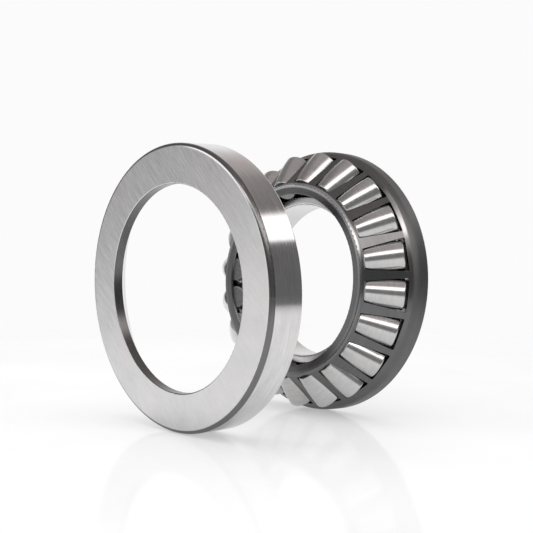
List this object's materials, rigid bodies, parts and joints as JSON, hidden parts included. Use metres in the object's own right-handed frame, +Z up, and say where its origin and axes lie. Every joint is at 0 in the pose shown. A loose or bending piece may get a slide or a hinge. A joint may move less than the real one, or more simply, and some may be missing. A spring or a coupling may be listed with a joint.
{
  "type": "spherical roller thrust bearing",
  "caption": "Self-aligning thrust bearing, taken apart: housing washer on its rim, and the shaft washer with its window cage and barrel rollers behind it.",
  "frame": {"origin": "on the housing washer's axis, halfway along its width", "axes": "+Y is the housing washer's axis, from its back face towards the roller unit; +Z is up, with both pieces standing on their rims; +X completes a right-handed frame"},
  "size_m": [0.2147, 0.1693, 0.21],
  "materials": {
    "washer_steel": "ground, with fine grinding lines",
    "shaft_washer_steel": "ground seats, turned rim",
    "cage_steel": "satin, phosphated pressed sheet",
    "roller_steel": "finely ground and honed"
  },
  "bodies": {
    "housing_washer": {"housing_washer": "washer_steel"},
    "shaft_washer": {"shaft_washer": "shaft_washer_steel"},
    "cage": {"cage": "cage_steel"},
    "roller_01": {"roller_01": "roller_steel"},
    "roller_02": {"roller_02": "roller_steel"},
    "roller_03": {"roller_03": "roller_steel"},
    "roller_04": {"roller_04": "roller_steel"},
    "roller_05": {"roller_05": "roller_steel"},
    "roller_06": {"roller_06": "roller_steel"},
    "roller_07": {"roller_07": "roller_steel"},
    "roller_08": {"roller_08": "roller_steel"},
    "roller_09": {"roller_09": "roller_steel"},
    "roller_10": {"roller_10": "roller_steel"},
    "roller_11": {"roller_11": "roller_steel"},
    "roller_12": {"roller_12": "roller_steel"},
    "roller_13": {"roller_13": "roller_steel"},
    "roller_14": {"roller_14": "roller_steel"},
    "roller_15": {"roller_15": "roller_steel"},
    "roller_16": {"roller_16": "roller_steel"},
    "roller_17": {"roller_17": "roller_steel"},
    "roller_18": {"roller_18": "roller_steel"},
    "roller_19": {"roller_19": "roller_steel"},
    "roller_20": {"roller_20": "roller_steel"}
  },
  "joints": [
    {"name": "shaft_turn", "type": "hinge", "parent": "housing_washer", "child": "shaft_washer", "pos_m": [-0.006, 0.1478, -0.00149], "axis": [-0.0336, 0.9973, -0.0652], "continuous": true},
    {"name": "cage_turn", "type": "hinge", "parent": "housing_washer", "child": "cage", "pos_m": [-0.00509, 0.12082, 0.00027], "axis": [-0.0336, 0.9973, -0.0652], "continuous": true},
    {"name": "roller_01_spin", "type": "hinge", "parent": "cage", "child": "roller_01", "pos_m": [0.07561, 0.12487, 0.02052], "axis": [0.6637, 0.7372, 0.1265], "continuous": true},
    {"name": "roller_02_spin", "type": "hinge", "parent": "cage", "child": "roller_02", "pos_m": [0.06534, 0.12609, 0.04444], "axis": [0.5762, 0.7476, 0.3303], "continuous": true},
    {"name": "roller_03_spin", "type": "hinge", "parent": "cage", "child": "roller_03", "pos_m": [0.04817, 0.12679, 0.06404], "axis": [0.43, 0.7536, 0.4972], "continuous": true},
    {"name": "roller_04_spin", "type": "hinge", "parent": "cage", "child": "roller_04", "pos_m": [0.02579, 0.12691, 0.0774], "axis": [0.2394, 0.7546, 0.611], "continuous": true},
    {"name": "roller_05_spin", "type": "hinge", "parent": "cage", "child": "roller_05", "pos_m": [0.00039, 0.12643, 0.0832], "axis": [0.023, 0.7505, 0.6605], "continuous": true},
    {"name": "roller_06_spin", "type": "hinge", "parent": "cage", "child": "roller_06", "pos_m": [-0.02555, 0.12541, 0.08089], "axis": [-0.198, 0.7418, 0.6408], "continuous": true},
    {"name": "roller_07_spin", "type": "hinge", "parent": "cage", "child": "roller_07", "pos_m": [-0.04949, 0.12393, 0.07069], "axis": [-0.4019, 0.7292, 0.5539], "continuous": true},
    {"name": "roller_08_spin", "type": "hinge", "parent": "cage", "child": "roller_08", "pos_m": [-0.06908, 0.12215, 0.05359], "axis": [-0.5687, 0.7141, 0.4082], "continuous": true},
    {"name": "roller_09_spin", "type": "hinge", "parent": "cage", "child": "roller_09", "pos_m": [-0.0824, 0.12025, 0.03128], "axis": [-0.6823, 0.6978, 0.2181], "continuous": true},
    {"name": "roller_10_spin", "type": "hinge", "parent": "cage", "child": "roller_10", "pos_m": [-0.08816, 0.11839, 0.00593], "axis": [-0.7313, 0.682, 0.0022], "continuous": true},
    {"name": "roller_11_spin", "type": "hinge", "parent": "cage", "child": "roller_11", "pos_m": [-0.08579, 0.11678, -0.01998], "axis": [-0.7111, 0.6683, -0.2185], "continuous": true},
    {"name": "roller_12_spin", "type": "hinge", "parent": "cage", "child": "roller_12", "pos_m": [-0.07552, 0.11556, -0.0439], "axis": [-0.6236, 0.6579, -0.4222], "continuous": true},
    {"name": "roller_13_spin", "type": "hinge", "parent": "cage", "child": "roller_13", "pos_m": [-0.05835, 0.11486, -0.0635], "axis": [-0.4774, 0.6519, -0.5892], "continuous": true},
    {"name": "roller_14_spin", "type": "hinge", "parent": "cage", "child": "roller_14", "pos_m": [-0.03597, 0.11474, -0.07685], "axis": [-0.2867, 0.6509, -0.7029], "continuous": true},
    {"name": "roller_15_spin", "type": "hinge", "parent": "cage", "child": "roller_15", "pos_m": [-0.01057, 0.11521, -0.08266], "axis": [-0.0704, 0.655, -0.7524], "continuous": true},
    {"name": "roller_16_spin", "type": "hinge", "parent": "cage", "child": "roller_16", "pos_m": [0.01537, 0.11624, -0.08034], "axis": [0.1506, 0.6637, -0.7327], "continuous": true},
    {"name": "roller_17_spin", "type": "hinge", "parent": "cage", "child": "roller_17", "pos_m": [0.0393, 0.11771, -0.07014], "axis": [0.3545, 0.6762, -0.6458], "continuous": true},
    {"name": "roller_18_spin", "type": "hinge", "parent": "cage", "child": "roller_18", "pos_m": [0.0589, 0.11949, -0.05305], "axis": [0.5214, 0.6914, -0.5001], "continuous": true},
    {"name": "roller_19_spin", "type": "hinge", "parent": "cage", "child": "roller_19", "pos_m": [0.07222, 0.1214, -0.03073], "axis": [0.6349, 0.7077, -0.3101], "continuous": true},
    {"name": "roller_20_spin", "type": "hinge", "parent": "cage", "child": "roller_20", "pos_m": [0.07798, 0.12325, -0.00538], "axis": [0.684, 0.7234, -0.0941], "continuous": true}
  ],
  "couplings": [
    {"joint": "cage_turn", "follows": "shaft_turn", "ratio": 0.45263},
    {"joint": "roller_01_spin", "follows": "shaft_turn", "ratio": -3.6854},
    {"joint": "roller_02_spin", "follows": "shaft_turn", "ratio": -3.6854},
    {"joint": "roller_03_spin", "follows": "shaft_turn", "ratio": -3.6854},
    {"joint": "roller_04_spin", "follows": "shaft_turn", "ratio": -3.6854},
    {"joint": "roller_05_spin", "follows": "shaft_turn", "ratio": -3.6854},
    {"joint": "roller_06_spin", "follows": "shaft_turn", "ratio": -3.6854},
    {"joint": "roller_07_spin", "follows": "shaft_turn", "ratio": -3.6854},
    {"joint": "roller_08_spin", "follows": "shaft_turn", "ratio": -3.6854},
    {"joint": "roller_09_spin", "follows": "shaft_turn", "ratio": -3.6854},
    {"joint": "roller_10_spin", "follows": "shaft_turn", "ratio": -3.6854},
    {"joint": "roller_11_spin", "follows": "shaft_turn", "ratio": -3.6854},
    {"joint": "roller_12_spin", "follows": "shaft_turn", "ratio": -3.6854},
    {"joint": "roller_13_spin", "follows": "shaft_turn", "ratio": -3.6854},
    {"joint": "roller_14_spin", "follows": "shaft_turn", "ratio": -3.6854},
    {"joint": "roller_15_spin", "follows": "shaft_turn", "ratio": -3.6854},
    {"joint": "roller_16_spin", "follows": "shaft_turn", "ratio": -3.6854},
    {"joint": "roller_17_spin", "follows": "shaft_turn", "ratio": -3.6854},
    {"joint": "roller_18_spin", "follows": "shaft_turn", "ratio": -3.6854},
    {"joint": "roller_19_spin", "follows": "shaft_turn", "ratio": -3.6854},
    {"joint": "roller_20_spin", "follows": "shaft_turn", "ratio": -3.6854}
  ]
}
